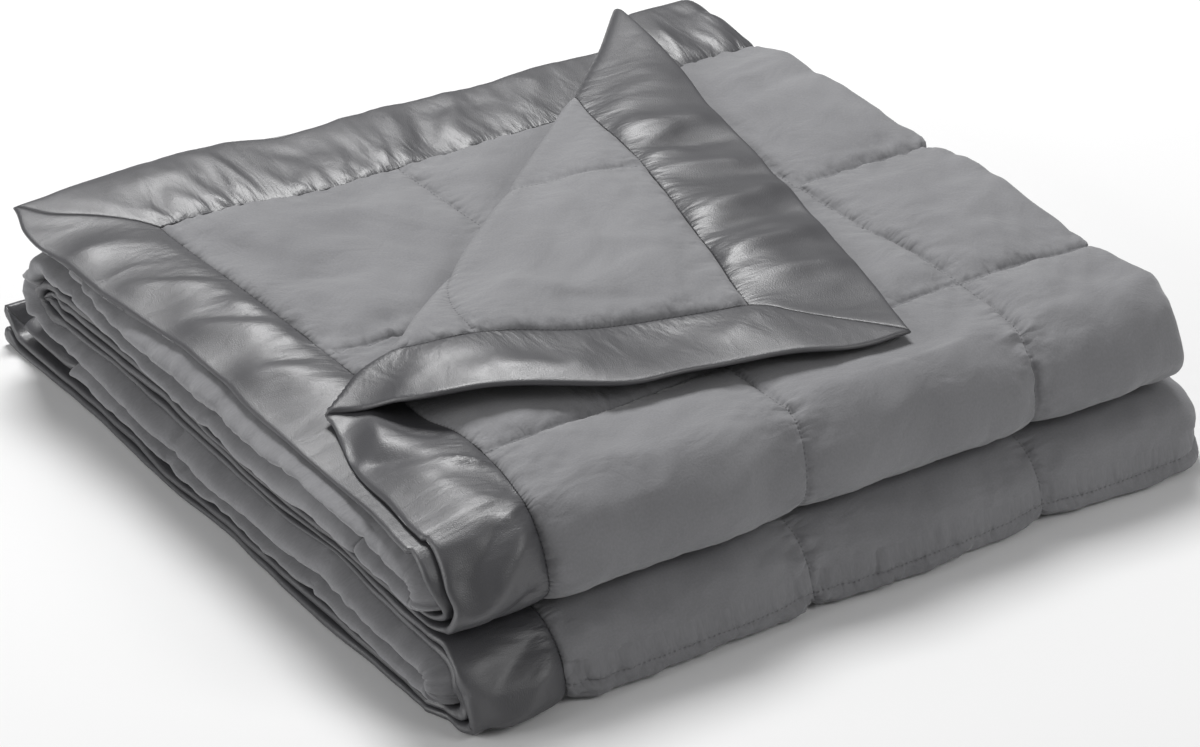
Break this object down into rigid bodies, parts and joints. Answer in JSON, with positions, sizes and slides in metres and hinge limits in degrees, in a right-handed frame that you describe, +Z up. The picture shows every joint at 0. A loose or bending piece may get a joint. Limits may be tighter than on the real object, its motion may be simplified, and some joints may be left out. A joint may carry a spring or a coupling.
{
  "type": "folded quilted blanket",
  "caption": "Square box-quilted blanket with a wide satin binding, folded into a layered block that lies flat, its top corner turned back over the stack.",
  "frame": {"origin": "Centre of the footprint, on the surface the folded blanket lies on.", "axes": "+Z is up. +X runs from the open left side with its hems to the right side folds. +Y runs from the two rounded front folds to the back hems."},
  "size_m": [0.5758, 0.551, 0.1416],
  "materials": {
    "field": "matte brushed microfibre",
    "binding": "satin weave with a soft sheen"
  },
  "bodies": {
    "root": {"quilted_field": "field", "binding_top_left": "binding", "binding_second_left": "binding", "binding_top_back": "binding", "binding_bottom_back": "binding"}
  },
  "joints": []
}
